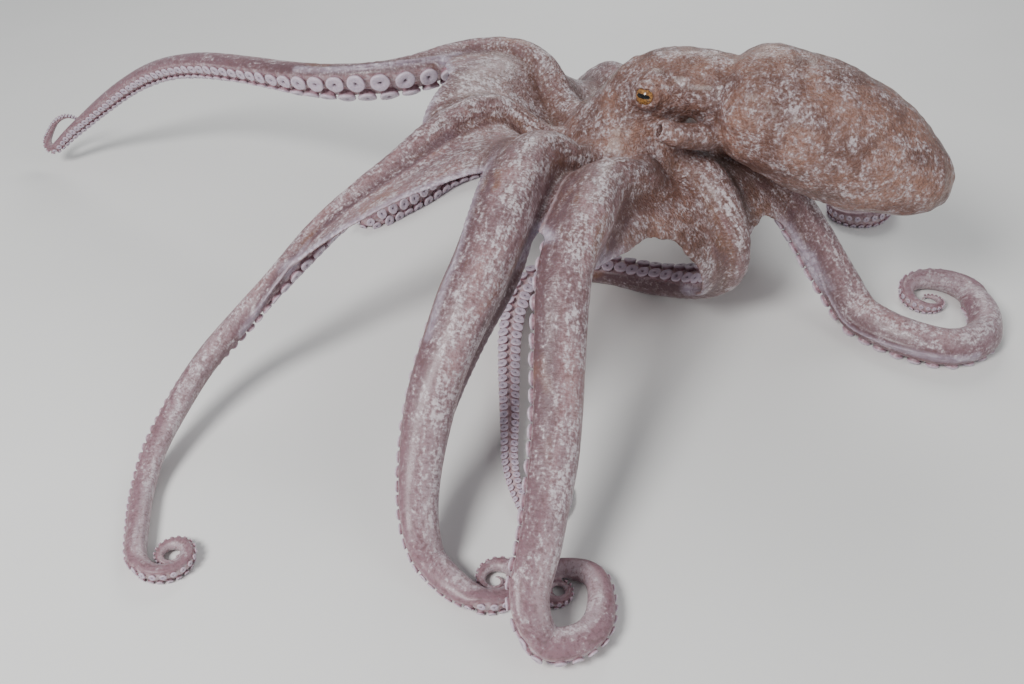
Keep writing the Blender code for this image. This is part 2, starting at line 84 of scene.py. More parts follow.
# Each arm: the side, width at the root, share of it lost by the end, how late it is lost (1 evenly,
# under 1 near the root), bluntness of the tip, then its route as (x, y, z in mm, and the way the
# suckers face), then the coil at its end as (way it turns, first radius, last radius, turns), +1
# turning left. z of 0 means resting.
ARMS = {
    "arm_r1": (135, 0.062, 0.65, 1.0, 9.0, (
        (115, 285, 262, 0, -0.3, -1), (13, 317, 270, 0, -0.7, -1), (-63, 289, 262, 0, -1, -0.7),
        (-149, 283, 252, 0, -1, -0.5), (-308, 352, 234, 0, -1, -0.6),
        (-467, 439, 206, 0.2, -1, -0.6), (-557, 477, 162, 0.4, -1, -0.8),
        (-615, 489, 122, 0.5, -0.9, -0.8), (-675, 499, 76, 0.5, -0.9, -0.6),
        (-712, 491, 46, 0.3, -0.8, -0.7), (-730, 487, 34, -0.2, -0.6, -0.8),
        (-740, 499, 41, -1, -0.4, -0.2), (-735, 511, 57, -0.9, -0.3, 0.4),
        (-721, 518, 74, -0.7, -0.3, 0.7), (-706, 523, 80, 0, -0.3, 1),
        (-694, 529, 73, 0.7, -0.3, 0.7), (-686, 534, 60, 0.9, -0.3, 0.3),
    ), None),
    "arm_l1": (180, 0.058, 0.65, 0.5, 14.0, (
        (57, 150, 262, 0, 0.2, -1), (-5, 115, 266, 0.1, 0.6, -0.8), (-66, 53, 241, 0.6, 0.4, -0.8),
        (-150, -13, 195, 0.8, 0, -0.55), (-231, -80, 131, 0.8, 0, -0.55),
        (-293, -139, 83, -0.1, 0.7, -0.7), (-335, -223, 38, -0.9, 0.4, -0.5),
        (-346, -278, 18, -1, 0.1, -0.5), (-344, -323, 0, -1, -0.1, -0.6),
        (-335, -369, 0, -1, -0.2, -0.8), (-324, -405, 0, -1, -0.4, -0.9),
    ), (1, 0.032, 0.006, 1.65)),
    "arm_l2": (225, 0.078, 0.40, 2.0, 3.0, (
        (114, 26, 258, -0.2, 0.3, -1), (75, -68, 262, -0.4, 0.4, -0.9),
        (46, -161, 234, -0.6, 0.5, -0.7), (12, -228, 183, -0.7, 0.5, -0.6),
        (-16, -293, 120, -0.8, 0.4, -0.5), (-27, -358, 63, -0.9, 0.3, -0.4),
        (-23, -396, 37, -1, 0, -0.5), (-4, -425, 0, -0.8, -0.6, -0.8),
        (31, -455, 0, -0.4, -0.9, -1),
    ), (1, 0.035, 0.006, 1.70)),
    "arm_l3": (270, 0.074, 0.30, 1.0, 3.0, (
        (195, -21, 250, -0.3, 0.3, -1), (163, -96, 253, -0.5, 0.4, -0.8),
        (136, -172, 235, -0.7, 0.4, -0.6), (124, -253, 178, -0.8, 0.4, -0.5),
        (118, -345, 117, -0.8, 0.4, -0.5), (109, -398, 88, -0.8, 0.4, -0.5),
        (96, -453, 66, -0.9, 0.3, -0.4), (88, -487, 47, -1, 0, -0.5),
        (96, -510, 26, -0.8, -0.7, -0.7), (119, -518, 0, 0, -1, -0.9),
        (146, -506, 0, 0.7, -0.8, -1), (163, -466, 0, 1, -0.2, -1), (154, -424, 0, 0.9, 0.5, -1),
        (128, -416, 0, 0, 1, -1),
    ), (1, 0.026, 0.0055, 1.6)),
    "arm_l4": (315, 0.068, 0.80, 0.7, 9.0, (
        (348, 12, 175, -0.3, 0.3, -0.7), (355, 27, 80, -0.9, 0.5, 0.1), (293, 87, 30, -0.2, 0.2, 1),
        (198, 137, 0, 0, 0, 1), (113, 117, 0, 0, 0, 1), (76, 27, 0, 0, 0, 1),
        (69, -113, 0, 0, 0, 1), (70, -223, 0, 0, 0, 1), (80, -308, 0, -0.3, 0, 1),
        (107, -353, 0, 0, -0.4, 1), (134, -325, 0, 0.4, 0, 1), (137, -283, 0, 0.4, 0, 1),
    ), None),
    "arm_r4": (0, 0.070, 0.35, 1.0, 4.0, (
        (408, 125, 195, -0.2, 0, -1), (471, 95, 125, -0.6, 0, -0.7), (531, 42, 50, -0.4, 0.3, -1),
        (588, -23, 0, 0, 0, -1), (653, -53, 0, 0, 0, -1), (715, -18, 0, 0, 0, -1),
        (731, 57, 0, 0, 0, -1),
    ), (1, 0.060, 0.008, 1.5)),
    "arm_r3": (45, 0.070, 0.35, 1.0, 4.0, (
        (355, 262, 218, 0, -0.1, -1), (405, 342, 150, -0.3, -0.6, -1),
        (455, 415, 60, -0.2, -0.6, -1), (523, 462, 0, 0, 0, -1), (603, 467, 0, 0, 0, -1),
        (668, 422, 0, 0, 0, -1), (683, 347, 0, 0, 0, -1),
    ), (-1, 0.060, 0.008, 1.4)),
    "arm_r2": (90, 0.066, 0.45, 1.5, 9.0, (
        (228, 347, 218, 0, -0.2, -1), (183, 442, 145, 0, -0.5, -1), (108, 489, 55, 0, -0.5, -1),
        (23, 470, 0, 0.3, -0.8, -0.5), (-42, 421, 0, 0.5, -1, -0.2), (-79, 369, 0, 0.6, -1, 0),
        (-117, 322, 0, 0.5, -1, 0), (-150, 290, 0, 0.5, -1, 0),
    ), (-1, 0.016, 0.006, 0.8)),
}
# Web between neighbouring arms: how far it reaches along the first and the second, and
# its margin's place on the way across, as shares of those reaches at even steps.
ARCH = (1.0, 0.58, 0.47, 0.58, 1.0)
WEBS = (
    ("arm_r1", "arm_l1", 0.30, 0.26, (0.88, 0.83, 0.70, 0.74, 0.80)),
    ("arm_l1", "arm_l2", 0.50, 0.20, (0.93, 0.88, 0.88, 0.88, 0.80)),
    ("arm_l2", "arm_l3", 0.45, 0.25, (0.63, 0.57, 0.59, 0.80, 0.96)),
    ("arm_l3", "arm_l4", 0.25, 0.24, ARCH),
    ("arm_l4", "arm_r4", 0.22, 0.28, ARCH),
    ("arm_r4", "arm_r3", 0.33, 0.33, ARCH),
    ("arm_r3", "arm_r2", 0.27, 0.27, ARCH),
    ("arm_r2", "arm_r1", 0.33, 0.20, ARCH),
)
WEB_SEAM = 0.34                   # share of an arm's width from its middle to a web's seam
WEB_ROWS, WEB_COLUMNS = 80, 61    # points of a web's grid, out along the arms and across
KEEL_COLUMNS = 6
LOWEST = 0.0003                   # what rests stands this little above the floor
# The web runs on along an arm as a thin keel: arm, edge, start, end, greatest height.
KEELS = (
    ("arm_l2", 1, 0.19, 0.64, 0.0125), ("arm_l3", 1, 0.20, 0.66, 0.0065),
    ("arm_l1", 1, 0.42, 0.56, 0.0090),
    ("arm_l2", -1, 0.13, 0.40, 0.0050), ("arm_r1", 1, 0.24, 0.48, 0.0050),
    ("arm_l4", 1, 0.17, 0.42, 0.0070), ("arm_r4", 1, 0.26, 0.50, 0.0070),
    ("arm_r4", -1, 0.22, 0.48, 0.0070), ("arm_r3", 1, 0.22, 0.48, 0.0070),
    ("arm_r3", -1, 0.27, 0.50, 0.0070), ("arm_r2", 1, 0.27, 0.48, 0.0070),
)
# The settled outline of an arm, as shares of its width: (sideways, towards suckers).
OUTLINE = np.array((
    (0.0, -0.46), (0.37, -0.31), (0.48, 0.10), (0.23, 0.45),
    (0.0, 0.34), (-0.23, 0.45), (-0.48, 0.10), (-0.37, -0.31),
))


# -------- the stage
FLOOR_REACH = 9.0
SKY_COLOUR, SKY_STRENGTH = "#DDE2E8", 0.42
# A broad key from the front left, a fill from the right, and a rim from behind: place, aim,
# width and watts.
LAMPS = {
    "key": ((-1.3, -1.7, 2.1), (0.0, 0.0, 0.1), 1.0, 86),
    "fill": ((2.0, -1.2, 1.6), (0.1, 0.0, 0.1), 1.8, 14),
    "rim": ((0.6, 2.2, 1.8), (0.0, 0.0, 0.2), 1.4, 26),
}


# -------- helpers: numbers
def unit(v):
    return v / np.maximum(np.linalg.norm(v, axis=-1, keepdims=True), 1e-12)


def ease(value, low, high):
    """0 below low, 1 above high, smooth between."""
    share = np.clip((value - low) / (high - low), 0, 1)
    return share * share * (3 - 2 * share)


def ring_angles(sides):
    return np.arange(sides) * 2 * math.pi / sides


def soft_noise(points, size, seed):
    """Smooth noise from -1 to 1 with lumps of a given size, the same on each run."""
    scaled = points / size + seed * 7.31
    cell = np.floor(scaled).astype(np.int64)
    part = scaled - cell
    part = part * part * (3 - 2 * part)
    total = np.zeros(len(points))
    for corner in range(8):
        step = np.array([corner & 1, corner >> 1 & 1, corner >> 2])
        at = cell + step
        mixed = at[:, 0] * 73856093 ^ at[:, 1] * 19349663 ^ at[:, 2] * 83492791 ^ seed * 40503
        mixed = (mixed ^ mixed >> 13) * 1274126177 & 0xFFFFFFFF
        value = (mixed >> 8 & 0xFFFF) / 32767.5 - 1
        total += value * np.prod(np.where(step, part, 1 - part), axis=1)
    return total


def natural_spline(stations, step):
    """A smooth curve through the stations' columns, by distance along the first three."""
    values = np.array(stations, float)
    chord = np.linalg.norm(np.diff(values[:, :3], axis=0), axis=1)
    knots = np.concatenate([[0.0], np.cumsum(chord)])
    n = len(knots)
    system = np.eye(n)
    right = np.zeros((n, values.shape[1]))
    for i in range(1, n - 1):
        system[i, i - 1] = chord[i - 1]
        system[i, i] = 2 * (chord[i - 1] + chord[i])
        system[i, i + 1] = chord[i]
        slope = np.diff(values[i - 1:i + 2], axis=0) / chord[i - 1:i + 1, None]
        right[i] = 6 * (slope[1] - slope[0])
    bend = np.linalg.solve(system, right)
    at = np.linspace(0, knots[-1], int(knots[-1] / step) + 1)
    i = np.clip(np.searchsorted(knots, at, side="right") - 1, 0, n - 2)
    h = chord[i, None]
    a = (knots[i + 1] - at)[:, None]
    b = (at - knots[i])[:, None]
    return (
        (bend[i] * a**3 + bend[i + 1] * b**3) / (6 * h)
        + (values[i] / h - bend[i] * h / 6) * a
        + (values[i + 1] / h - bend[i + 1] * h / 6) * b
    )


def coil_stations(last, heading, turn, first_radius, last_radius, turns):
    """Points of a flat coil that tightens, suckers on its outer side."""
    stations = []
    x, y, z = last
    step = math.radians(20)
    for k in range(int(turns * 18)):
        share = k / (turns * 18)
        radius = first_radius * (last_radius / first_radius) ** share
        heading += turn * step
        x += radius * step * math.cos(heading - turn * step / 2)
        y += radius * step * math.sin(heading - turn * step / 2)
        outward = heading - turn * math.pi / 2
        stations.append((x, y, z, math.cos(outward), math.sin(outward), -0.25))
    return stations


def arm_route(name):
    """Places, frames and widths at short steps along an arm."""
    azimuth, base, taper, early, blunt, route, coil = ARMS[name]
    way = math.radians(azimuth)
    root = [CROWN[0] + CROWN_RADIUS * math.cos(way), CROWN[1] + CROWN_RADIUS * math.sin(way)]
    lead = [c + 1.02 * (r - c) for c, r in zip(CROWN, root)]
    stations = [(*root, ROOT_HEIGHT, 0, 0, -1), (*lead, ROOT_HEIGHT, 0, 0, -1)]
    stations += [(x / 1000, y / 1000, z / 1000, *facing) for x, y, z, *facing in route]
    if coil:
        (ax, ay), (bx, by) = stations[-2][:2], stations[-1][:2]
        heading = math.atan2(by - ay, bx - ax) + coil[0] * math.radians(8)
        stations += coil_stations(stations[-1][:3], heading, *coil)
    samples = natural_spline(stations, LINE_STEP)
    place = samples[:, :3]
    for _ in range(3):
        along = unit(np.gradient(place, axis=0))
        facing = samples[:, 3:] - (samples[:, 3:] * along).sum(1, keepdims=True) * along
        facing = unit(facing)
        side = np.cross(along, facing)
        run = np.concatenate([[0], np.cumsum(np.linalg.norm(np.diff(place, axis=0), axis=1))])
        share = run / run[-1]
        width = base * (1 - taper * share**early) * (1 - share**blunt) + 0.004
        drop = -(OUTLINE[:, :1] * side[:, 2] + OUTLINE[:, 1:] * facing[:, 2])
        rest = drop.max(axis=0) * width - SINK * width
        spare = samples[:, 2] - rest
        place = samples[:, :3].copy()
        place[:, 2] = rest + 0.5 * (spare + np.sqrt(spare**2 + 0.008**2))
        weight = np.hanning(9)[1:-1]
        padded = np.pad(place[:, 2], 3, mode="edge")
        place[:, 2] = np.convolve(padded, weight / weight.sum(), mode="valid")
    return {"place": place, "along": along, "facing": facing, "side": side,
            "run": run, "width": width}


def at_run(arm, key, run):
    values = arm[key]
    if values.ndim == 1:
        return np.interp(run, arm["run"], values)
    return np.array([np.interp(run, arm["run"], values[:, k]) for k in range(3)]).T


# -------- helpers: meshes
def new_object(name, mesh):
    made = bpy.data.objects.new(name, mesh)
    bpy.context.scene.collection.objects.link(made)
    return made


def from_arrays(name, points, faces):
    mesh = bpy.data.meshes.new(name)
    mesh.from_pydata([tuple(p) for p in points], [], [tuple(f) for f in faces])
    mesh.validate()
    return new_object(name, mesh)


def read_points(mesh):
    flat = np.empty(len(mesh.vertices) * 3, np.float32)
    mesh.vertices.foreach_get("co", flat)
    return flat.reshape(-1, 3).astype(float)


def write_points(mesh, points):
    mesh.vertices.foreach_set("co", points.astype(np.float32).ravel())
    mesh.update()


def write_values(mesh, name, values):
    """Stores one number or one vector for each vertex under a name."""
    kind = "FLOAT_VECTOR" if values.ndim == 2 else "FLOAT"
    layer = mesh.attributes.new(name, kind, "POINT")
    layer.data.foreach_set("vector" if values.ndim == 2 else "value",
                           values.astype(np.float32).ravel())


def tube_faces(rings, sides, first=0):
    """Quads through rings of points, and a fan of one face at each end."""
    k = np.arange(sides)
    faces = []
    for ring in range(rings - 1):
        a = first + ring * sides
        faces += np.stack([a + k, a + (k + 1) % sides, a + sides + (k + 1) % sides,
                           a + sides + k], axis=1).tolist()
    faces.append((first + k[::-1]).tolist())
    faces.append((first + (rings - 1) * sides + k).tolist())
    return faces


def smooth_points(points, edges, steps, pull):
    """Moves each point towards the middle of its neighbours, steps times."""
    count = len(points)
    a, b = edges[:, 0], edges[:, 1]
    degree = np.maximum(np.bincount(edges.ravel(), minlength=count), 1)[:, None]
    for step in range(steps):
        near = np.stack([
            np.bincount(a, weights=points[b, k], minlength=count)
            + np.bincount(b, weights=points[a, k], minlength=count) for k in range(3)
        ], axis=1) / degree
        amount = pull[step % len(pull)]
        points = points + amount * (near - points)
    return points


# -------- helpers: materials
def colour(code):
    """A linear colour from an sRGB hex code."""
    parts = [int(code[k:k + 2], 16) / 255 for k in (1, 3, 5)]
    return tuple(c / 12.92 if c <= 0.04045 else ((c + 0.055) / 1.055) ** 2.4 for c in parts) + (1.0,)


# For a kind of node: the inputs that values fill in turn, its usual output, and its usual fields.
USUAL = {
    "Mix": ((0, 6, 7), 2, {"data_type": "RGBA"}),
    "MapRange": (range(5), 0, {"interpolation_type": "SMOOTHSTEP"}),
}


def add(tree, kind, *values, output=None, **fields):
    """Adds a shader node, fills its inputs, and gives one of its outputs.

    The kind may name an operation after a space. Values are sockets, numbers or sRGB hex
    codes, and fill the usual inputs in turn, or those that a dict names.
    """
    kind, _, operation = kind.partition(" ")
    inputs, usual_output, usual_fields = USUAL.get(kind, (range(5), 0, {}))
    made = tree.nodes.new("ShaderNode" + kind)
    if operation:
        made.operation = operation
    for key, value in {**usual_fields, **fields}.items():
        setattr(made, key, value)
    named = values and isinstance(values[0], dict)
    for key, value in (values[0] if named else dict(zip(inputs, values))).items():
        if isinstance(value, bpy.types.NodeSocket):
            tree.links.new(value, made.inputs[key])
        else:
            made.inputs[key].default_value = colour(value) if isinstance(value, str) else value
    return made.outputs[usual_output if output is None else output] if made.outputs else None


def fade(node, first, second, value, *span):
    """From one colour to another while a value passes over a span."""
    return node("Mix", node("MapRange", value, *span), first, second)


def new_material(name):
    """An empty material, and the call that adds nodes to it."""
    made = bpy.data.materials.new(name)
    made.use_nodes = True
    made.node_tree.nodes.clear()
    return made, functools.partial(add, made.node_tree)


# -------- the skin's shapes
def arm_section(sides):
    """The skin's outline, as shares of an arm's width, flatter towards the suckers."""
    turn = ring_angles(sides)
    return np.stack([0.47 * np.sin(turn), -0.37 * np.cos(turn) - 0.09 * np.cos(2 * turn)], axis=1)


def arm_tube(arm, sides=28, step=0.003):
    """Points and faces of an arm, carried in under the crown and rounded at its tip."""
    total = arm["run"][-1]
    runs = np.arange(0, total, step)
    place, width = at_run(arm, "place", runs), at_run(arm, "width", runs)
    side, facing = unit(at_run(arm, "side", runs)), unit(at_run(arm, "facing", runs))
    along = unit(at_run(arm, "along", runs[:1]))
    inward = np.array([0.055, 0.04, 0.025, 0.012])
    place = np.concatenate([place[:1] - inward[:, None] * along, place])
    place[:4, 2] += (0.004, 0.003, 0.002, 0.001)
    width = np.concatenate([width[:1] * np.array([0.62, 0.74, 0.86, 0.95]), width])
    side = np.concatenate([np.repeat(side[:1], 4, 0), side])
    facing = np.concatenate([np.repeat(facing[:1], 4, 0), facing])
    outline = arm_section(sides)
    points = (place[:, None] + width[:, None, None] * (
        outline[None, :, :1] * side[:, None] + outline[None, :, 1:] * facing[:, None]))
    rings = len(place)
    return points.reshape(-1, 3), tube_faces(rings, sides)


def web_edge(arm, run, sign):
    """Where a web leaves an arm's left or right edge, and the way that it leaves."""
    side = sign * unit(at_run(arm, "side", run))
    return at_run(arm, "place", run) + WEB_SEAM * at_run(arm, "width", run)[:, None] * side, side


def web_sheet(arms, web, thickness=0.0050):
    """Points and faces of a web, thicker where it runs into its two arms."""
    first, second, reach_a, reach_b, profile = web
    share = np.linspace(0, 1, WEB_COLUMNS)
    margin = np.interp(share, np.linspace(0, 1, len(profile)), profile)
    margin = np.convolve(np.pad(margin, 5, mode="edge"), np.hanning(13)[1:-1] / 6.0, mode="valid")
    middle, thick = np.zeros((WEB_ROWS, WEB_COLUMNS, 3)), np.zeros((WEB_ROWS, WEB_COLUMNS))
    for row, down in enumerate(np.linspace(0, 1, WEB_ROWS)):
        start, leave = web_edge(arms[first], reach_a * margin * down, 1)
        end, arrive = web_edge(arms[second], reach_b * margin * down, -1)
        span = np.linalg.norm(end - start, axis=1, keepdims=True)
        across = unit(end - start)
        leave = start + span / 3 * unit(leave + across)
        arrive = end + span / 3 * unit(arrive - across)
        s = share[:, None]
        middle[row] = ((1 - s)**3 * start + 3 * (1 - s)**2 * s * leave
                       + 3 * (1 - s) * s**2 * arrive + s**3 * end)
        seam_a = 0.14 * at_run(arms[first], "width", reach_a * margin * down)
        seam_b = 0.14 * at_run(arms[second], "width", reach_b * margin * down)
        off = np.minimum(share * span[:, 0] - seam_a, (1 - share) * span[:, 0] - seam_b)
        fillet = 0.012 * (1 - 0.75 * down) * np.exp(-np.maximum(off, 0) / 0.010)
        thick[row] = (thickness + fillet) * (0.80 + 0.20 * (1 - ease(down, 0.9, 1.0)))
    normal = unit(np.cross(np.gradient(middle, axis=1), np.gradient(middle, axis=0)))
    return slab(middle, normal * thick[..., None] / 2)


def slab(middle, half):
    """A closed sheet around a grid of points, half as thick on each side."""
    rows, columns = middle.shape[:2]
    points = np.concatenate([(middle + half).reshape(-1, 3), (middle - half).reshape(-1, 3)])
    grid = np.arange(rows * columns).reshape(rows, columns)
    under = grid + rows * columns
    quads = np.stack([grid[:-1, :-1], grid[:-1, 1:], grid[1:, 1:], grid[1:, :-1]], -1)
    backs = np.stack([under[:-1, :-1], under[1:, :-1], under[1:, 1:], under[:-1, 1:]], -1)
    rim = np.concatenate([grid[:-1, 0], grid[-1, :-1], grid[:0:-1, -1], grid[0, :0:-1]])
    ahead = np.roll(rim, -1)
    sides = np.stack([rim, ahead, ahead + rows * columns, rim + rows * columns], -1)
    return points, np.concatenate([quads.reshape(-1, 4), backs.reshape(-1, 4), sides]).tolist()


def keel_sheet(arms, keel, thickness=0.0048):
    """Points and faces of a keel that fades out along an arm's edge."""
    name, sign, start, stop, height = keel
    arm = arms[name]
    run = np.arange(start, stop, 0.003)
    share = (run - start) / (stop - start)
    tall = height * ease(share, 0.0, 0.22) * (1 - ease(share, 0.45, 1.0)**0.8)
    outward = np.linspace(0, 1, KEEL_COLUMNS)
    width, facing = at_run(arm, "width", run)[:, None], unit(at_run(arm, "facing", run))
    side = sign * unit(at_run(arm, "side", run))
    out = (0.38 + 0.09 * outward) * width + tall[:, None] * outward
    droop = 0.25 * tall[:, None] * outward ** 2 - 0.02 * width
    middle = at_run(arm, "place", run)[:, None] + out[..., None] * side[:, None]
    middle = middle + droop[..., None] * facing[:, None]
    half = np.repeat(facing[:, None], KEEL_COLUMNS, 1) * thickness / 2
    return slab(middle, half * np.linspace(1.2, 0.85, KEEL_COLUMNS)[:, None])


def body_point(back, sideways, up):
    return np.array([CROWN[0] + back * BACK_COS - sideways * BACK_SIN,
                     CROWN[1] + back * BACK_SIN + sideways * BACK_COS, up])


def body_tube(rings, sides=56, step=0.004):
    """A smooth closed body through the rings of the head or the mantle."""
    table = np.array(rings) / (1000, 1000, 1000, 1000, 1)
    stations = np.column_stack([table[:, 0], np.zeros(len(table)), table[:, 1], table[:, 2:]])
    fine = natural_spline(stations, step)
    turn = ring_angles(sides)
    points = []
    for back, _, up, half_width, half_height, lean in fine:
        lean = math.radians(lean)
        across, over = half_width * np.sin(turn), half_height * np.cos(turn)
        points += [body_point(back - o * math.cos(lean), a, up + o * math.sin(lean))
                   for a, o in zip(across, over)]
    return np.array(points), tube_faces(len(fine), sides)


def ball(place, radii, sides=32, rings=20):
    """An ellipsoid, radii along the body's back, side and up."""
    polar = np.linspace(0.04, math.pi - 0.04, rings)
    turn = ring_angles(sides)
    back, sideways, up = place
    points = [body_point(back + radii[0] * math.sin(p) * math.cos(t),
                         sideways + radii[1] * math.sin(p) * math.sin(t),
                         up + radii[2] * math.cos(p)) for p in polar for t in turn]
    return np.array(points), tube_faces(rings, sides)


def siphon_tube(sides=28):
    """The funnel, a walled tube that is open at its end."""
    path = natural_spline([body_point(*p) for p in SIPHON_PATH], 0.004)
    count = len(path)
    radius = np.interp(np.linspace(0, 1, count), (0, 0.5, 1), SIPHON_RADII)
    ahead = unit(np.gradient(path, axis=0))
    up = unit(np.cross(ahead, np.array([0.0, 0.0, 1.0])))
    other = np.cross(ahead, up)
    turn = ring_angles(sides)
    order = list(range(count)) + list(range(count - 1, count // 2 - 1, -1))
    wall = [0.0] * count + [0.0048] * (len(order) - count)
    points = [path[k] + (radius[k] - inset) * (math.cos(t) * up[k] + math.sin(t) * other[k])
              for k, inset in zip(order, wall) for t in turn]
    return np.array(points), tube_faces(len(order), sides)


def eye_frame(sign):
    """An eye's middle and its three ways: where it looks, level, and above."""
    ahead = np.array([-BACK_COS, -BACK_SIN, 0.0])
    out = np.array([-BACK_SIN * sign, BACK_COS * sign, 0.0])
    look = unit(out + 0.22 * ahead + np.array([0, 0, 0.28]))
    level = unit(np.cross(np.array([0.0, 0.0, 1.0]), look))
    centre = body_point(EYE_PLACE[0], sign * EYE_PLACE[1], EYE_PLACE[2])
    return centre, look, level, np.cross(look, level)


def eyelid(sign, sides=44):
    """A hood over an eye with a long low opening, thick enough to hold its own fold."""
    centre, look, level, above = eye_frame(sign)
    turn = ring_angles(sides)
    opening = np.radians(27 + 17 * np.abs(np.cos(turn)) ** 1.5 - 3 * np.maximum(np.sin(turn), 0))
    spoke = np.cos(turn)[:, None] * level + np.sin(turn)[:, None] * above
    back = math.radians(112)
    points = []
    # Over the outside from the back to the opening, then inside and back: (share, radius).
    rows = ((0.0, 1.10), (0.35, 1.20), (0.7, 1.25), (0.95, 1.20), (1.0, 1.07),
            (0.97, 0.97), (0.7, 0.92), (0.0, 0.90))
    for share, radius in rows:
        polar = back + (opening - back) * share
        points.append(centre + radius * EYE_RADIUS * (
            np.cos(polar)[:, None] * look + np.sin(polar)[:, None] * spoke))
    return np.concatenate(points), tube_faces(len(rows), sides)


def stacked(shapes):
    """The points and the faces of several shapes as one array and one list."""
    points, faces, first = [], [], 0
    for part_points, part_faces in shapes:
        points.append(part_points)
        faces += [[first + k for k in face] for face in part_faces]
        first += len(part_points)
    return np.concatenate(points), faces


def joined_shapes(name, shapes):
    """One mesh object that holds several closed shapes, still overlapping."""
    points, faces = stacked(shapes)
    mesh = bpy.data.meshes.new(name)
    mesh.from_pydata(points.tolist(), [], faces)
    bm = bmesh.new()
    bm.from_mesh(mesh)
    bmesh.ops.recalc_face_normals(bm, faces=bm.faces)
    bm.to_mesh(mesh)
    bm.free()
    return new_object(name, mesh)


def melt_together(made, voxel):
    """Turns overlapping shapes into one even skin."""
    melt = made.modifiers.new("melt", "REMESH")
    melt.mode = "VOXEL"
    melt.voxel_size = voxel
    graph = bpy.context.evaluated_depsgraph_get()
    mesh = bpy.data.meshes.new_from_object(made.evaluated_get(graph))
    made.modifiers.clear()
    old, made.data = made.data, mesh
    bpy.data.meshes.remove(old)


def nearest(points, targets):
    """For each point: the index of the nearest target, and how far that is."""
    tree = KDTree(len(targets))
    for index, target in enumerate(targets):
        tree.insert(target, index)
    tree.balance()
    found = np.array([tree.find(point)[1:] for point in points])
    return found[:, 0].astype(int), found[:, 1]


def nearest_arm_places(points, arms):
    """For each point: which arm is nearest, and the point's place in that arm's frame."""
    table = {key: np.concatenate([arm[key] for arm in arms.values()])
             for key in ("place", "along", "side", "facing", "run", "width")}
    counts = [len(arm["run"]) for arm in arms.values()]
    number = np.repeat(np.arange(len(arms)), counts)
    total = np.repeat([arm["run"][-1] for arm in arms.values()], counts)
    hit, _ = nearest(points, table["place"])
    away = points - table["place"][hit]
    along, side, facing = (unit(table[key][hit]) for key in ("along", "side", "facing"))
    return {
        "arm": number[hit], "run": table["run"][hit] + (away * along).sum(1), "total": total[hit],
        "side": (away * side).sum(1), "facing": (away * facing).sum(1),
        "width": table["width"][hit], "away": np.linalg.norm(away, axis=1), "oral": facing,
    }


def body_places(points):
    """Back, sideways and up of each point, in the head and mantle's own frame."""
    x, y = points[:, 0] - CROWN[0], points[:, 1] - CROWN[1]
    return np.stack([x * BACK_COS + y * BACK_SIN, -x * BACK_SIN + y * BACK_COS, points[:, 2]], axis=1)


# -------- settings
class OctopusSkin(bpy.types.PropertyGroup):
    voxel: bpy.props.FloatProperty(
        name="Detail", description="Size of the skin's faces",
        default=0.0022, min=0.001, unit="LENGTH")
    fold: bpy.props.FloatProperty(
        name="Fold height", description="Height of the folds on the mantle and head",
        default=0.0022, unit="LENGTH")
    pale: bpy.props.StringProperty(
        name="Pale", description="White blotches, as an sRGB hex code", default="#DAD1D5")
    pink: bpy.props.StringProperty(
        name="Pink", description="Flesh between the blotches, as an sRGB hex code",
        default="#9A7779")
    mauve: bpy.props.StringProperty(
        name="Mauve", description="Shaded flesh along an arm, as an sRGB hex code",
        default="#785C60")
    brown: bpy.props.StringProperty(
        name="Brown", description="Body and roots of the arms, as an sRGB hex code",
        default="#6A4A3A")


class OctopusSuckers(bpy.types.PropertyGroup):
    size: bpy.props.FloatProperty(
        name="Size", description="Size of all suckers against the usual",
        default=1.0, subtype="FACTOR")
    pitch: bpy.props.FloatProperty(
        name="Pitch", description="From one sucker to the next in a row, in widths of one",
        default=1.10)
    tone: bpy.props.StringProperty(
        name="Tone", description="A sucker's flesh, as an sRGB hex code", default="#C2B3C0")


class OctopusEyes(bpy.types.PropertyGroup):
    iris: bpy.props.StringProperty(
        name="Iris", description="The iris, as an sRGB hex code", default="#A97B45")


class OctopusStage(bpy.types.PropertyGroup):
    camera_place: bpy.props.FloatVectorProperty(
        name="Camera", description="Where the camera stands",
        default=(0.073, -1.103, 0.85), subtype="TRANSLATION", unit="LENGTH")
    camera_pitch: bpy.props.FloatProperty(
        name="Pitch", description="How far the camera looks down",
        default=math.radians(38), subtype="ANGLE", unit="ROTATION")
    lens: bpy.props.FloatProperty(
        name="Lens", description="Focal length on a 36 mm sensor", default=35.33, unit="CAMERA")
    floor: bpy.props.StringProperty(
        name="Floor", description="The floor, as an sRGB hex code", default="#E9E8E5")


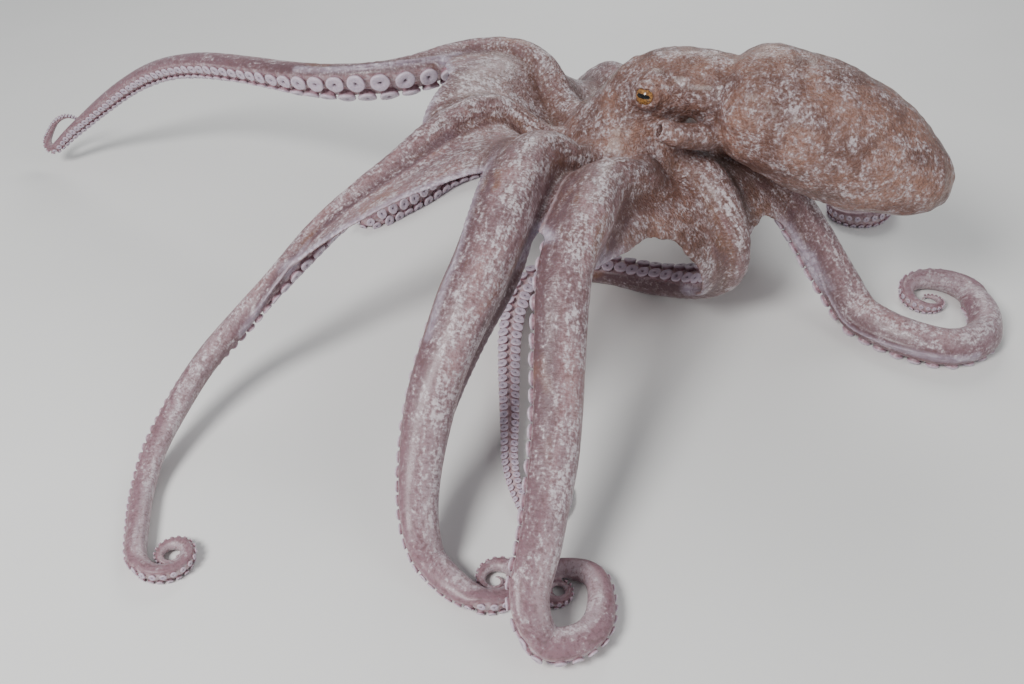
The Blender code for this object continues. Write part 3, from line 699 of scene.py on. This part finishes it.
# -------- materials
def octopus_skin_material(look):
    """Live octopus skin: soft wet flesh, dusted with pale colour cells and drawn into fine folds.

    The markings run along each arm in short flecks, and lie in a net over the body.
    """
    made, node = new_material("octopus_skin_wet_mottled")
    body = node("TexCoord", output="Object")
    arm = node("Attribute", output="Vector", attribute_name="arm_space")
    on_arm, along, under, margin, trunk, shaded_flank, oral = (
        node("Attribute", output="Fac", attribute_name=name)
        for name in ("on_arm", "along", "under", "margin", "trunk", "shaded_flank", "oral"))

    def on_both(arm_size, body_size, detail=2.0, rough=0.55, bent=0.0):
        """Noise with features of a size in mm: (along, across) an arm, and on the body."""
        scale = (1000 / arm_size[0], 1000 / arm_size[1], 1000 / arm_size[1])
        place = node("Mapping", {"Vector": arm, "Scale": scale})
        grain = {"Detail": detail, "Roughness": rough, "Distortion": bent}
        first = node("TexNoise", {"Vector": place, "Scale": 1.0, **grain}, output="Fac")
        second = node("TexNoise", {"Vector": body, "Scale": 1000 / body_size, **grain}, output="Fac")
        return node("Mix", {0: on_arm, 2: second, 3: first}, output=0, data_type="FLOAT")

    # Pale grains 3 to 4 mm across, flecks 10 mm long, clusters 30 mm and bands 80 mm long.
    grains = on_both((3.0, 4.0), 3.6, 2.0, 0.6)
    flecks = on_both((10.0, 5.0), 8.0, 2.0, 0.6, 0.5)
    clusters = on_both((32.0, 16.0), 24.0, 2.0)
    bands = on_both((85.0, 34.0), 60.0, 2.0)
    # The net of grooves between patches 5 mm across, and dark points 2 mm apart.
    net = node("TexVoronoi", {"Vector": body, "Scale": 190.0, "Randomness": 1.0},
               output="Distance", feature="DISTANCE_TO_EDGE")
    speck = node("TexNoise", {"Vector": body, "Scale": 430.0, "Detail": 1.0}, output="Fac")

    flesh = fade(node, look.mauve, look.pink, bands, 0.36, 0.64)
    # Painted shade: the flanks of each arm are painted darker than the back, unevenly where the wide
    # bands run.
    side = node("Math MULTIPLY_ADD", node("Math SUBTRACT", bands, 0.5), 1.6, shaded_flank)
    flesh = fade(node, flesh, "#5D444A", side, 0.15, 0.95, 0.0, 0.85)
    tan = node("Math MULTIPLY", node("MapRange", bands, 0.56, 0.70),
               node("MapRange", along, 0.65, 0.25))
    flesh = node("Mix", node("Math MULTIPLY", tan, 0.60), flesh, "#8F6548")
    flesh = fade(node, flesh, "#94727B", along, 0.35, 0.75, 0.0, 0.70)
    # Towards the tips the back of an arm is painted paler and silvery along its middle, away from the
    # flanks: a painted highlight.
    ridge_highlight = node("Math MULTIPLY", node("MapRange", along, 0.35, 0.80),
                 node("MapRange", shaded_flank, 0.75, 0.0))
    flesh = node("Mix", node("Math MULTIPLY", ridge_highlight, 0.50), flesh, "#B9A8AE")
    rootward = node("Math SUBTRACT", along, node("Math MULTIPLY", clusters, 0.5))
    browned = node("MapRange", rootward, -0.24, 0.04, 0.80, 0.0)
    flesh = node("Mix", browned, flesh, look.brown)
    body_flesh = fade(node, "#63443A", "#8C6657", bands, 0.35, 0.65)
    flesh = node("Mix", trunk, flesh, body_flesh)

    # A haze of pale cells lies over the clusters, thin on the body and thinned on the flanks as part of
    # their painted shade, and the brightest grains stand in it.
    dust = node("Math ADD", node("Math MULTIPLY", grains, 0.50), node("Math MULTIPLY", flecks, 0.50))
    edge = node("MapRange", clusters, 0.34, 0.66, 0.545, 0.435)
    edge = node("Math MULTIPLY_ADD", node("Math SUBTRACT", 0.5, bands), 0.14, edge)
    edge = node("Math MULTIPLY_ADD", trunk, 0.030, edge)
    # Less haze on the flanks: part of their painted shade.
    edge = node("Math MULTIPLY_ADD", side, 0.095, edge)
    over = node("Math SUBTRACT", dust, edge)
    calm = node("MapRange", along, 0.55, 0.95, 1.0, 0.55)
    calm = node("Math MULTIPLY", calm, node("MapRange", trunk, 0.0, 1.0, 1.0, 0.72))
    haze = node("Math MULTIPLY", node("MapRange", over, -0.12, 0.10),
                node("Math MULTIPLY", calm, 0.62))
    bright = node("Math MULTIPLY", node("MapRange", over, 0.02, 0.13),
                  node("Math MULTIPLY", calm, 0.62))
    shade = node("Mix", haze, flesh, "#A9989C")
    shade = node("Mix", bright, shade, look.pale)
    dark = node("MapRange", dust, 0.470, 0.380)
    shade = node("Mix", node("Math MULTIPLY", dark, 0.42), shade, "#5F4846")
    # Painted shade in the grooves of the net, near the roots.
    groove_shade = node("Math MULTIPLY", node("MapRange", net, 0.09, 0.0),
                   node("MapRange", along, 0.5, 0.0, 0.0, 0.16))
    shade = node("Mix", groove_shade, shade, "#6B504D")
    specked = node("Math MULTIPLY", node("MapRange", speck, 0.38, 0.30), 0.30)
    shade = node("Mix", specked, shade, "#5A4240")
    # The thin edges of webs and keels are smooth and lilac, with hair-fine streaks.
    lilac = fade(node, "#A294A4", "#C4BAC8", flecks, 0.35, 0.65)
    shade = node("Mix", margin, shade, lilac)
    belly = fade(node, "#A98A8D", "#C9B5BB", flecks, 0.35, 0.65)
    shade = node("Mix", under, shade, belly)
    # The webs' undersides are dark brown: partly their own tone, partly painted shade under the web.
    lining_and_shade = fade(node, "#6B4B43", "#8A6A60", flecks, 0.35, 0.65)
    shade = node("Mix", node("Math MULTIPLY", oral, 0.85), shade, lining_and_shade)

    # Wrinkles across the arms every 3 to 4 mm, strongest towards the roots.
    wrinkles = on_both((3.4, 20.0), 7.0, 3.0, 0.55, 0.3)
    deep = node("MapRange", along, 0.05, 0.55, 1.0, 0.25)
    folded = node("Math MULTIPLY", wrinkles, deep)
    # Painted shade in the troughs of the wrinkles.
    crease_shade = node("Math MULTIPLY", node("MapRange", wrinkles, 0.46, 0.36),
                   node("Math MULTIPLY", deep, 0.40))
    shade = node("Mix", crease_shade, shade, "#5A403C")
    knobbed = node("Math MULTIPLY", node("MapRange", net, 0.0, 0.25),
                   node("MapRange", along, 0.45, 0.0, 0.0, 1.0))
    height = node("Math MULTIPLY_ADD", folded, 1.5, knobbed)
    height = node("Math MULTIPLY_ADD", node("Math MULTIPLY", grains, 1.1),
                   node("MapRange", along, 0.3, 0.8, 1.0, 0.45), height)
    bump = node("Bump", {"Height": height, "Strength": 0.70, "Distance": 0.0009})
    rough = node("MapRange", dust, 0.3, 0.7, 0.40, 0.52)
    node("OutputMaterial", node("BsdfPrincipled", {
        "Base Color": shade, "Roughness": rough, "IOR": 1.40, "Normal": bump,
        "Subsurface Weight": 0.12, "Subsurface Radius": (0.006, 0.0025, 0.0018),
        "Subsurface Scale": 1.0, "Coat Weight": 0.30, "Coat Roughness": 0.22, "Coat IOR": 1.34,
    }))
    return made


def sucker_material(look):
    """Sucker flesh: smooth pale muscle with a soft sheen, with a painted highlight on the rim and
    painted shade down in the cup.
    """
    made, node = new_material("sucker_flesh_smooth")
    body = node("TexCoord", output="Object")
    cup = node("Attribute", output="Fac", attribute_name="cup")
    spoke = node("Attribute", output="Fac", attribute_name="spoke")
    # Faint clouds 4 mm across, and a rim left paler than the face as a painted highlight.
    lumps = node("TexNoise", {"Vector": body, "Scale": 260.0, "Detail": 3.0}, output="Fac")
    skirt = fade(node, "#8F6C75", "#A88A93", lumps, 0.35, 0.65)
    face = fade(node, look.tone, "#A797AB", lumps, 0.35, 0.65, 0.0, 0.6)
    shade = fade(node, skirt, look.tone, cup, 0.20, 0.46)
    # The face goes greyer than the rim, which is left as a painted highlight.
    shade = fade(node, shade, face, cup, 0.52, 0.66)
    # Painted shade down in the cup, darkest at its middle hole.
    shade = fade(node, shade, "#8B7A88", cup, 0.80, 0.93, 0.0, 0.65)
    shade = fade(node, shade, "#66545D", cup, 0.93, 1.0)
    height = node("Math MULTIPLY", spoke, node("MapRange", cup, 0.58, 0.66))
    height = node("Math MULTIPLY_ADD", lumps, 0.4, height)
    bump = node("Bump", {"Height": height, "Strength": 0.35, "Distance": 0.0005})
    node("OutputMaterial", node("BsdfPrincipled", {
        "Base Color": shade, "Roughness": 0.40, "IOR": 1.40, "Normal": bump,
        "Subsurface Weight": 0.15, "Subsurface Radius": (0.005, 0.003, 0.003),
        "Subsurface Scale": 1.0, "Coat Weight": 0.2, "Coat Roughness": 0.2, "Coat IOR": 1.34,
    }))
    return made


def eye_material(look):
    """An octopus eye: a streaked metallic iris and a dark level slit, under a wet cornea."""
    made, node = new_material("octopus_eye_wet")
    place = node("Attribute", output="Vector", attribute_name="eye_space")
    level, above, look_out = node("SeparateXYZ", place).node.outputs
    from_middle = node("VectorMath MULTIPLY", place, (1.0, 1.0, 0.0))
    round_out = node("VectorMath LENGTH", from_middle, output="Value")
    streaks = node("TexNoise", {"Vector": place, "Scale": 9.0, "Detail": 4.0, "Roughness": 0.7},
                   output="Fac")
    iris = fade(node, "#5A3A22", look.iris, streaks, 0.35, 0.65)
    shade = fade(node, iris, "#6B4A3A", round_out, 0.66, 0.74)
    shade = fade(node, shade, "#C9B9A6", round_out, 0.80, 0.86)
    # The slit is a level bar with rounded ends, 1.1 by 0.34 radii of the eye.
    wide = node("Math DIVIDE", level, 0.55)
    tall = node("Math DIVIDE", above, 0.17)
    wide = node("Math POWER", wide, 4.0)
    tall = node("Math POWER", tall, 2.0)
    slit = node("Math ADD", wide, tall)
    front = node("MapRange", look_out, 0.0, 0.1)
    slit = node("Math MULTIPLY", node("MapRange", slit, 1.15, 0.85), front)
    shade = node("Mix", slit, shade, "#070605")
    node("OutputMaterial", node("BsdfPrincipled", {
        "Base Color": shade, "Roughness": 0.22, "IOR": 1.376,
        "Coat Weight": 1.0, "Coat Roughness": 0.03, "Coat IOR": 1.376,
    }))
    return made


def floor_material(look):
    """A studio floor: matt pale board, with a faint unevenness."""
    made, node = new_material("studio_board_matt")
    body = node("TexCoord", output="Object")
    cloud = node("TexNoise", {"Vector": body, "Scale": 3.0, "Detail": 3.0}, output="Fac")
    shade = fade(node, look.floor, "#B9B7B4", cloud, 0.3, 0.7, 0.0, 0.06)
    node("OutputMaterial", node("BsdfPrincipled", {"Base Color": shade, "Roughness": 0.85, "IOR": 1.5}))
    return made


# -------- operators
class OCTOPUS_OT_skin(bpy.types.Operator):
    """Builds the one skin over mantle, head, siphon, webs and arms"""
    bl_idname = "octopus.skin"
    bl_label = "Skin"

    def execute(self, context):
        look = context.scene.octopus_skin
        arms = {name: arm_route(name) for name in ARMS}
        webs = [web_sheet(arms, web) for web in WEBS]
        keels = [keel_sheet(arms, keel) for keel in KEELS]
        web_grid = WEB_ROWS * WEB_COLUMNS
        rims = (np.concatenate([points[web_grid - WEB_COLUMNS:web_grid] for points, _ in webs]),
                np.concatenate([points[KEEL_COLUMNS - 1:len(points) // 2:KEEL_COLUMNS]
                                for points, _ in keels]))
        shapes = [arm_tube(arm) for arm in arms.values()] + webs + keels
        shapes += [body_tube(HEAD_RINGS), body_tube(MANTLE_RINGS), siphon_tube()]
        for sign in (-1, 1):
            back, sideways, up = BROW_PLACE
            shapes.append(ball((back, sign * sideways, up),
                               (BROW_RADIUS * 1.12, BROW_RADIUS * 0.86, BROW_RADIUS)))
            shapes.append(eyelid(sign))
        made = joined_shapes("octopus_skin", shapes)
        melt_together(made, look.voxel)
        mesh = made.data
        points = read_points(mesh)
        edges = np.empty(len(mesh.edges) * 2, np.int64)
        mesh.edges.foreach_get("vertices", edges)
        points = smooth_points(points, edges.reshape(-1, 2), 16, (0.55, -0.50))
        points = smooth_points(points, edges.reshape(-1, 2), 3, (0.5,))
        write_points(mesh, points)
        self.fold(mesh, points, arms, rims, look)
        mesh.shade_smooth()
        mesh.materials.append(octopus_skin_material(look))
        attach(made, "root")
        flesh = [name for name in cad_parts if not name.startswith("eye_")]
        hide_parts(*flesh)
        print("skin faces", len(mesh.polygons))
        return {"FINISHED"}

    def fold(self, mesh, points, arms, rims, look):
        """Raises folds and lumps, and stores the places that the markings follow."""
        normal = np.empty(len(points) * 3, np.float32)
        mesh.vertices.foreach_get("normal", normal)
        normal = normal.reshape(-1, 3).astype(float)
        near = nearest_arm_places(points, arms)
        # What is within 0.56 widths of an arm's middle line belongs to the arm.
        away = near["away"] / near["width"]
        on_arm = 1 - ease(away, 0.56, 0.80)
        body = body_places(points)
        high = ease(points[:, 2], 0.236, 0.262)
        head = high * ease(0.11 - np.hypot(body[:, 0], body[:, 1]), -0.01, 0.012)
        mantle = ease(body[:, 0], 0.035, 0.085) * (points[:, 2] > 0.15) * ease(away, 0.6, 0.9)
        trunk = np.maximum(head, mantle)
        on_arm = on_arm * (1 - trunk)
        share = np.clip(near["run"] / near["total"], 0, 1)
        along = np.where(trunk > 0.5, 0.0, share)

        # Folds 30 and 14 mm apart and lumps of 20 mm on the body, and swellings on the arms.
        ridge = 1 - 2 * abs(soft_noise(points * (1, 1, 1.3), 0.030, 3))
        ridge += 0.5 * (1 - 2 * abs(soft_noise(points, 0.014, 5)))
        lump = np.maximum(soft_noise(points, 0.020, 8) - 0.35, 0) * 2
        broad = soft_noise(points, 0.055, 11)
        rise = trunk * (0.55 * look.fold * ridge + 0.8 * look.fold * lump)
        rise += (1 - trunk) * on_arm * 0.022 * near["width"] * broad
        # Wrinkles 6 mm apart across the backs of the arms, deepest at the roots.
        lines = soft_noise(np.stack([near["run"], near["side"] * 0.2, near["facing"] * 0.2],
                                    axis=1), 0.0060, 21)
        upper = ease(-near["facing"] / near["width"], -0.15, 0.25)
        bends = (1 - ease(share, 0.10, 0.55)) * 0.9 + 0.1
        rise += on_arm * upper * bends * 0.0007 * lines * ease(near["run"], 0.0, 0.05)
        points = points + normal * rise[:, None]
        points[:, 2] = np.maximum(points[:, 2], LOWEST)
        write_points(mesh, points)

        # The places that the skin's colours follow, from 0 to 1.
        under = on_arm * ease(near["facing"] / near["width"], 0.16, 0.30)
        aside = abs(near["side"]) / near["width"]
        # The flanks of each arm, where the skin is painted darker as shade.
        shaded_flank = on_arm * ease(aside + 0.5 * np.maximum(near["facing"] / near["width"], 0), 0.20, 0.50)
        web = (1 - on_arm) * (1 - trunk)
        web_rim, keel_rim = (nearest(points, rim)[1] for rim in rims)
        margin = np.maximum(0.75 * (1 - ease(web_rim, 0.003, 0.016)),
                            0.55 * (1 - ease(keel_rim, 0.002, 0.009)))
        margin *= (1 - trunk) * ease(near["run"], 0.10, 0.20)
        oral = web * ease((normal * near["oral"]).sum(1), 0.15, 0.55)
        write_values(mesh, "arm_space", np.stack(
            [near["run"] + 3.0 * near["arm"], near["side"], near["facing"]], axis=1))
        for name, values in (("on_arm", on_arm), ("along", along), ("under", under),
                             ("margin", margin), ("trunk", trunk), ("shaded_flank", shaded_flank), ("oral", oral)):
            write_values(mesh, name, values)


class OCTOPUS_OT_suckers(bpy.types.Operator):
    """Sets two rows of suckers along each arm"""
    bl_idname = "octopus.suckers"
    bl_label = "Suckers"

    # From the foot up over the rim and down into the cup: (radius, height, how far in).
    PROFILE = (
        (0.78, -0.34, 0.0), (0.78, 0.06, 0.08), (0.84, 0.28, 0.18), (0.95, 0.44, 0.28),
        (1.00, 0.57, 0.38), (0.985, 0.68, 0.44), (0.93, 0.75, 0.50), (0.84, 0.785, 0.56),
        (0.74, 0.79, 0.62), (0.62, 0.785, 0.68), (0.52, 0.79, 0.72), (0.42, 0.785, 0.76),
        (0.30, 0.755, 0.84), (0.20, 0.71, 0.90), (0.14, 0.63, 0.95), (0.08, 0.54, 1.0),
    )
    # How wide a sucker is at each share of the arm, against the widest.
    EVEN = ((0.0, 0.50), (0.1, 0.72), (0.25, 0.98), (0.5, 0.88), (0.7, 0.62), (0.85, 0.42),
            (1.0, 0.14))
    BOLD = ((0.0, 0.50), (0.15, 0.80), (0.28, 1.0), (0.38, 0.88), (0.48, 0.60), (0.6, 0.49),
            (0.85, 0.36), (1.0, 0.10))
    FULL = ((0.0, 0.50), (0.1, 0.72), (0.25, 0.98), (0.5, 0.92), (0.7, 0.86), (0.85, 0.76),
            (0.95, 0.62), (1.0, 0.40))
    # Each arm's widest sucker, its sizes along the arm, and the most of the arm's width it takes.
    PLAIN = (0.021, EVEN, 0.29)
    SIZES = {
        "arm_r1": (0.029, BOLD, 0.29), "arm_l1": (0.024, BOLD, 0.29),
        "arm_l2": (0.0185, EVEN, 0.29), "arm_l3": (0.0200, EVEN, 0.29),
        "arm_l4": (0.0200, EVEN, 0.29), "arm_r2": (0.0255, FULL, 0.32),
    }
    SEAT = (0.245, 0.255)         # a foot's place, sideways and below, as shares of the width
    # Rows that hang further over than the usual, between two runs: (from, to, degrees).
    TURNED = {("arm_r1", -1): (0.02, 0.60, 12)}
    # Where each row's first sucker stands, inside the crown, and where the rows end.
    FIRST_RUN = {-1: -0.045, 1: -0.035}
    BARE_TIP = 0.012
    LEAST_RADIUS = 0.0011

    def execute(self, context):
        look = context.scene.octopus_suckers
        flesh = sucker_material(look)
        total = 0
        for name in ARMS:
            made = self.rows(name, arm_route(name), look)
            made.data.materials.append(flesh)
            made.data.shade_smooth()
            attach(made, "root")
            total += len(made.data.polygons)
        print("sucker faces", total)
        return {"FINISHED"}

    def rows(self, name, arm, look):
        """Both rows of an arm's suckers as one mesh."""
        total = arm["run"][-1]
        widest, sizes, most = self.SIZES.get(name, self.PLAIN)
        shares, sizes = np.array(sizes).T
        widest = 0.5 * look.size * widest
        suckers = []
        for row in (-1, 1):
            run, number = self.FIRST_RUN[row], 0
            while run < total - self.BARE_TIP:
                width = float(at_run(arm, "width", max(run, 0.0)))
                radius = widest * float(np.interp(run / total, shares, sizes))
                radius = min(radius, most * width)
                radius *= 1 - 0.5 * float(ease(-run, 0.0, 0.05))
                if radius < self.LEAST_RADIUS:
                    break
                suckers.append(self.sucker(name, arm, run, row, radius, width, number))
                run += 2 * radius * look.pitch
                number += 1
        made = from_arrays("suckers_" + name, *stacked([sucker[:2] for sucker in suckers]))
        write_values(made.data, "cup", np.concatenate([sucker[2] for sucker in suckers]))
        write_values(made.data, "spoke", np.concatenate([sucker[3] for sucker in suckers]))
        return made

    def sucker(self, name, arm, run, row, radius, width, number):
        """A sucker's points and faces, how deep in the cup each point is, and its spokes."""
        held = max(run, 0.0)
        place, side = at_run(arm, "place", held), unit(at_run(arm, "side", held))
        facing, along = unit(at_run(arm, "facing", held)), unit(at_run(arm, "along", held))
        if run < 0:
            place = place + run * along
            width = width * (1 + run / 0.15)
        wobble = math.sin(number * 12.9898 + row * 4.1) * 43758.5453 % 1.0 - 0.5
        turned = self.TURNED.get((name, row), (0.0, 0.0, 0.0))
        turned = math.radians(turned[2]) * float(ease(run, turned[0], turned[0] + 0.06)
                                                 * ease(-run, -turned[1] - 0.06, -turned[1]))
        lean = row * (math.radians(15 + 8 * wobble) + turned)
        axis = unit(math.cos(lean) * facing + math.sin(lean) * side + 0.14 * wobble * along)
        slid = 0.5 * turned
        aside, below = self.SEAT
        base = place + width * ((aside * math.cos(slid) + below * math.sin(slid)) * row * side
                                + (below * math.cos(slid) - aside * math.sin(slid)) * facing)
        first = unit(np.cross(axis, along))
        second = np.cross(axis, first)
        sides = 28 if radius > 0.009 else 18 if radius > 0.004 else 10
        turn = ring_angles(sides)
        profile = self.PROFILE if radius > 0.004 else self.PROFILE[::2]
        rings, cups, spokes = [], [], []
        oval = 1 + 0.05 * wobble
        for out, up, depth in profile:
            ripple = 1 + 0.020 * np.cos(turn * 5 + number) * (0.25 < depth < 0.58)
            spoke = (np.cos(turn)[:, None] * first * oval + np.sin(turn)[:, None] * second / oval)
            height = radius * (up + 0.035 * np.cos(turn * 2 + number * 2.1) * (depth > 0.15))
            rings.append(base + radius * out * ripple[:, None] * spoke + height[:, None] * axis)
            cups.append(np.full(sides, depth))
            spokes.append(0.5 + 0.5 * np.cos(turn * (sides // 2)))
        points = np.concatenate(rings)
        points[:, 2] = np.maximum(points[:, 2], LOWEST)
        faces = tube_faces(len(profile), sides)[:-2] + [
            [(len(profile) - 1) * sides + k for k in range(sides)]]
        return points, faces, np.concatenate(cups), np.concatenate(spokes)


class OCTOPUS_OT_eyes(bpy.types.Operator):
    """Sets an eye with a level slit in each lid"""
    bl_idname = "octopus.eyes"
    bl_label = "Eyes"

    def execute(self, context):
        wet = eye_material(context.scene.octopus_eyes)
        for side, sign in (("left", -1), ("right", 1)):
            centre, look, level, above = eye_frame(sign)
            rings, sides = 40, 56
            polar = np.linspace(0.02, math.pi - 0.02, rings)
            turn = ring_angles(sides)
            points, places = [], []
            for p in polar:
                out = 1 + 0.05 * math.exp(-(p / 0.55) ** 2)
                x, y = math.sin(p) * np.cos(turn), math.sin(p) * np.sin(turn)
                z = np.full(sides, math.cos(p))
                points.append(centre + 0.985 * EYE_RADIUS * (
                    x[:, None] * level + y[:, None] * above + out * z[:, None] * look))
                places.append(np.stack([x, y, z], axis=1))
            made = from_arrays("eyeball_" + side, np.concatenate(points), tube_faces(rings, sides))
            write_values(made.data, "eye_space", np.concatenate(places))
            made.data.materials.append(wet)
            made.data.shade_smooth()
            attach(made, "root")
            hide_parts("eye_" + side)
        return {"FINISHED"}


class OCTOPUS_OT_stage(bpy.types.Operator):
    """Sets out the floor, the soft lights and the camera"""
    bl_idname = "octopus.stage"
    bl_label = "Stage"

    def execute(self, context):
        look = context.scene.octopus_stage
        bm = bmesh.new()
        bmesh.ops.create_grid(bm, x_segments=2, y_segments=2, size=FLOOR_REACH)
        mesh = bpy.data.meshes.new("studio_floor")
        bm.to_mesh(mesh)
        bm.free()
        floor = new_object("studio_floor", mesh)
        floor.data.materials.append(floor_material(look))

        world = bpy.data.worlds.new("studio")
        world.use_nodes = True
        sky = world.node_tree.nodes["Background"]
        sky.inputs["Color"].default_value = colour(SKY_COLOUR)
        sky.inputs["Strength"].default_value = SKY_STRENGTH
        context.scene.world = world
        for name, settings in LAMPS.items():
            self.lamp(name, *settings)

        data = bpy.data.cameras.new("view")
        data.sensor_width = 36.0
        data.lens = look.lens
        data.clip_end = 50.0
        camera = bpy.data.objects.new("view", data)
        context.scene.collection.objects.link(camera)
        camera.location = look.camera_place
        camera.rotation_euler = (math.pi / 2 - look.camera_pitch, 0.0, 0.0)
        context.scene.camera = camera
        return {"FINISHED"}

    def lamp(self, name, place, target, size, power):
        data = bpy.data.lights.new(name, "AREA")
        data.shape = "DISK"
        data.size = size
        data.energy = power
        made = bpy.data.objects.new(name, data)
        bpy.context.scene.collection.objects.link(made)
        made.location = place
        way = Vector(target) - Vector(place)
        made.rotation_euler = way.to_track_quat("-Z", "Y").to_euler()


class OCTOPUS_PT_panel(bpy.types.Panel):
    """Lists the pieces of the octopus"""
    bl_idname = "OCTOPUS_PT_panel"
    bl_label = "Octopus"
    bl_space_type = "VIEW_3D"
    bl_region_type = "UI"
    bl_category = "Octopus"

    def draw(self, context):
        scene = context.scene
        for group, names, action in (
            (scene.octopus_skin, ("voxel", "fold", "pale", "pink", "mauve", "brown"), "skin"),
            (scene.octopus_suckers, ("size", "pitch", "tone"), "suckers"),
            (scene.octopus_eyes, ("iris",), "eyes"),
            (scene.octopus_stage, ("camera_place", "camera_pitch", "lens", "floor"), "stage"),
        ):
            box = self.layout.box()
            for name in names:
                box.prop(group, name)
            box.operator("octopus." + action)


GROUPS = (
    ("octopus_skin", OctopusSkin), ("octopus_suckers", OctopusSuckers),
    ("octopus_eyes", OctopusEyes), ("octopus_stage", OctopusStage),
)
ACTIONS = (
    OCTOPUS_OT_skin, OCTOPUS_OT_suckers, OCTOPUS_OT_eyes, OCTOPUS_OT_stage, OCTOPUS_PT_panel,
)


def register():
    for name, group in GROUPS:
        bpy.utils.register_class(group)
        setattr(bpy.types.Scene, name, bpy.props.PointerProperty(type=group))
    for action in ACTIONS:
        bpy.utils.register_class(action)


def unregister():
    for action in reversed(ACTIONS):
        bpy.utils.unregister_class(action)
    for name, group in reversed(GROUPS):
        delattr(bpy.types.Scene, name)
        bpy.utils.unregister_class(group)


def main():
    register()
    bpy.ops.octopus.skin()
    bpy.ops.octopus.suckers()
    bpy.ops.octopus.eyes()
    bpy.ops.octopus.stage()


if __name__ == "__main__":
    main()
